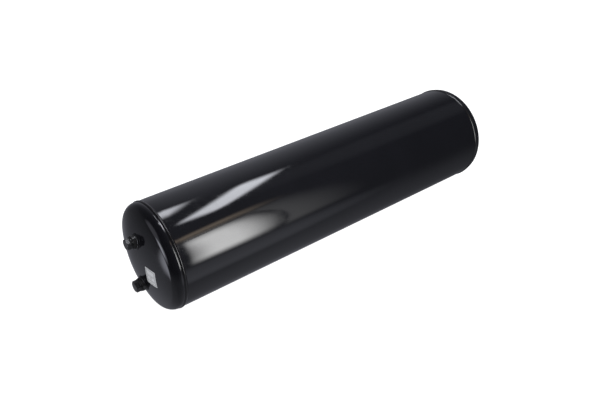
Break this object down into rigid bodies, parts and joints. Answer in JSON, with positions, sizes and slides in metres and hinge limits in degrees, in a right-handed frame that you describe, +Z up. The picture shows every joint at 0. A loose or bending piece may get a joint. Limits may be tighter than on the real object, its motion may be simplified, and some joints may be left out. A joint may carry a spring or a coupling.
{
  "type": "pressure tank",
  "caption": "Horizontal cylindrical steel pressure tank with dished welded ends and plugged threaded bosses on each end.",
  "frame": {"origin": "middle of the tank, on the level of its lowest line", "axes": "+X along the tank from the labelled front head to the rear head, +Z up, +Y to the side away from the label"},
  "size_m": [1.147, 0.28, 0.28],
  "materials": {
    "black_paint": "gloss black paint over steel",
    "plug_black": "satin black",
    "seal_rubber": "dull black",
    "label_film": "blank pale grey film"
  },
  "bodies": {
    "root": {"shell": "black_paint", "shell_seam_weld": "black_paint", "front_head": "black_paint", "front_girth_weld": "black_paint", "front_upper_boss": "black_paint", "front_upper_boss_weld": "black_paint", "front_upper_seal_ring": "seal_rubber", "front_upper_plug": "plug_black", "front_lower_boss": "black_paint", "front_lower_boss_weld": "black_paint", "front_lower_seal_ring": "seal_rubber", "front_lower_plug": "plug_black", "rear_head": "black_paint", "rear_girth_weld": "black_paint", "rear_upper_boss": "black_paint", "rear_upper_boss_weld": "black_paint", "rear_upper_seal_ring": "seal_rubber", "rear_upper_plug": "plug_black", "rear_lower_boss": "black_paint", "rear_lower_boss_weld": "black_paint", "rear_lower_seal_ring": "seal_rubber", "rear_lower_plug": "plug_black", "label": "label_film"}
  },
  "joints": []
}
